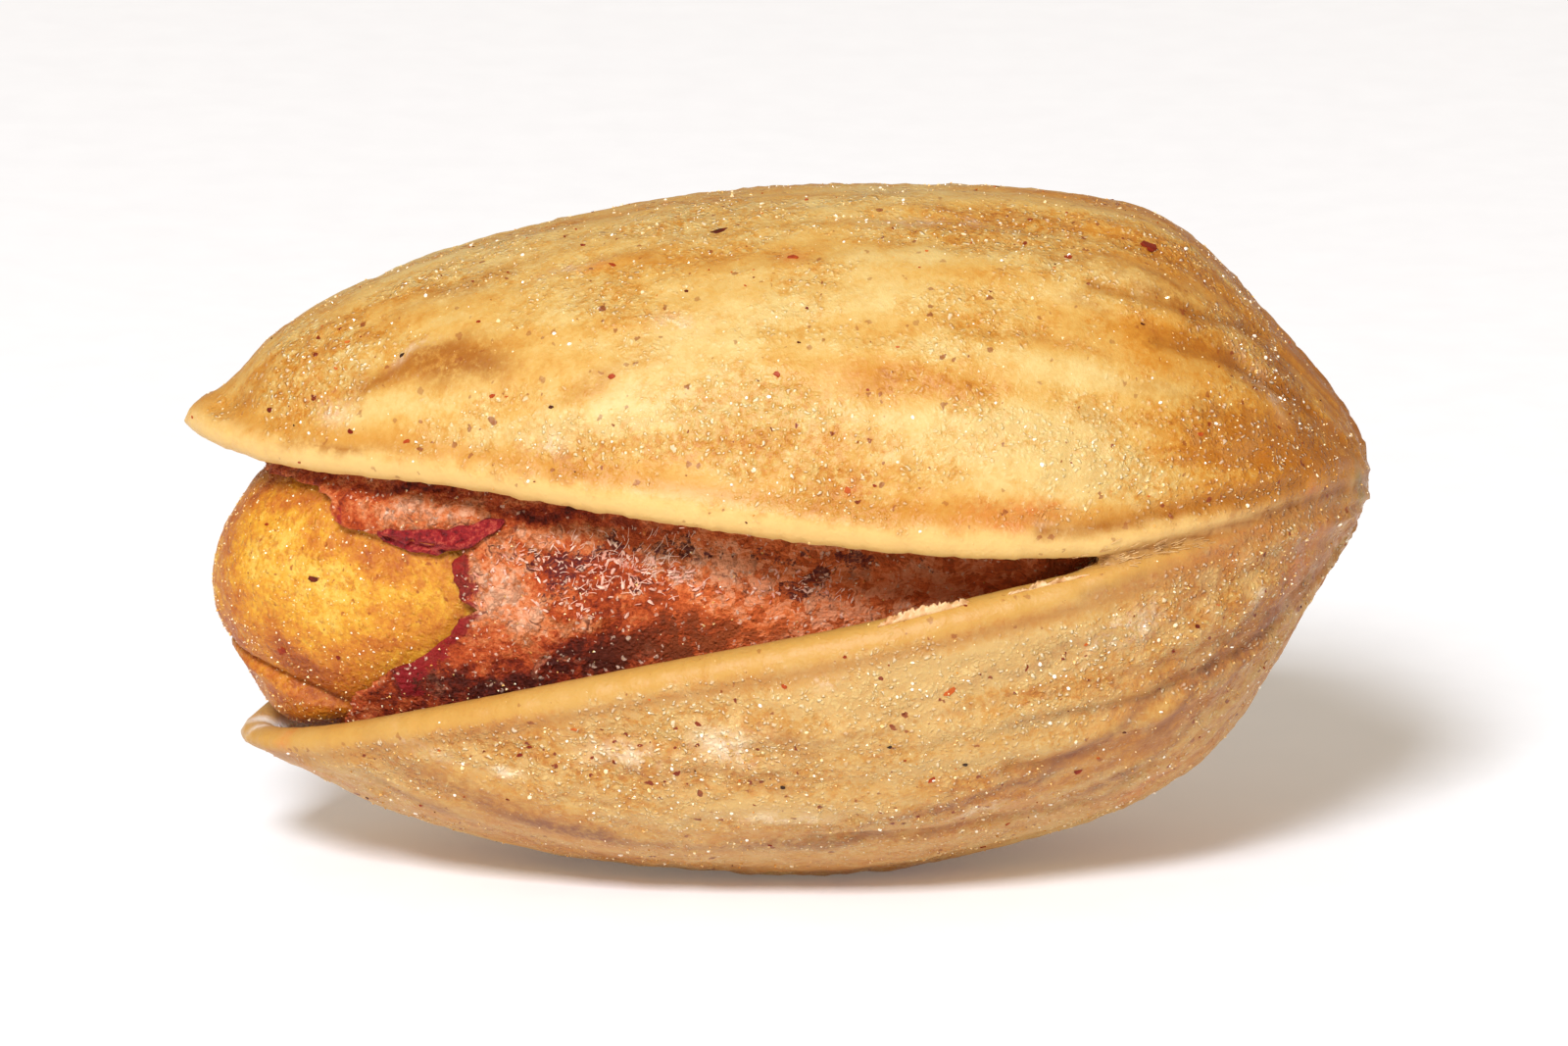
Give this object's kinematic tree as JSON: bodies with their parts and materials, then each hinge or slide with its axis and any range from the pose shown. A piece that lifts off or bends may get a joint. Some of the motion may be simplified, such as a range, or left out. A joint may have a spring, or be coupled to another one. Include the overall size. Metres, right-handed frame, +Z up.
{
  "type": "pistachio in shell",
  "caption": "Roasted pistachio lying on its belly, its hard shell split open along the seam with the skin-covered kernel showing inside.",
  "frame": {"origin": "on the surface that the nut lies on, under the middle of its length and width", "axes": "+X from the pointed tips to the stem end, +Z up, and the split seam that the picture shows faces -Y"},
  "size_m": [0.02, 0.0112, 0.0116],
  "materials": {
    "shell": "matt woody shell, dusted with salt",
    "kernel": "smooth waxy roasted seed",
    "kernel_skin": "dry papery red-brown skin"
  },
  "bodies": {
    "root": {"shell": "shell", "kernel": "kernel", "kernel_skin": "kernel_skin"}
  },
  "joints": []
}
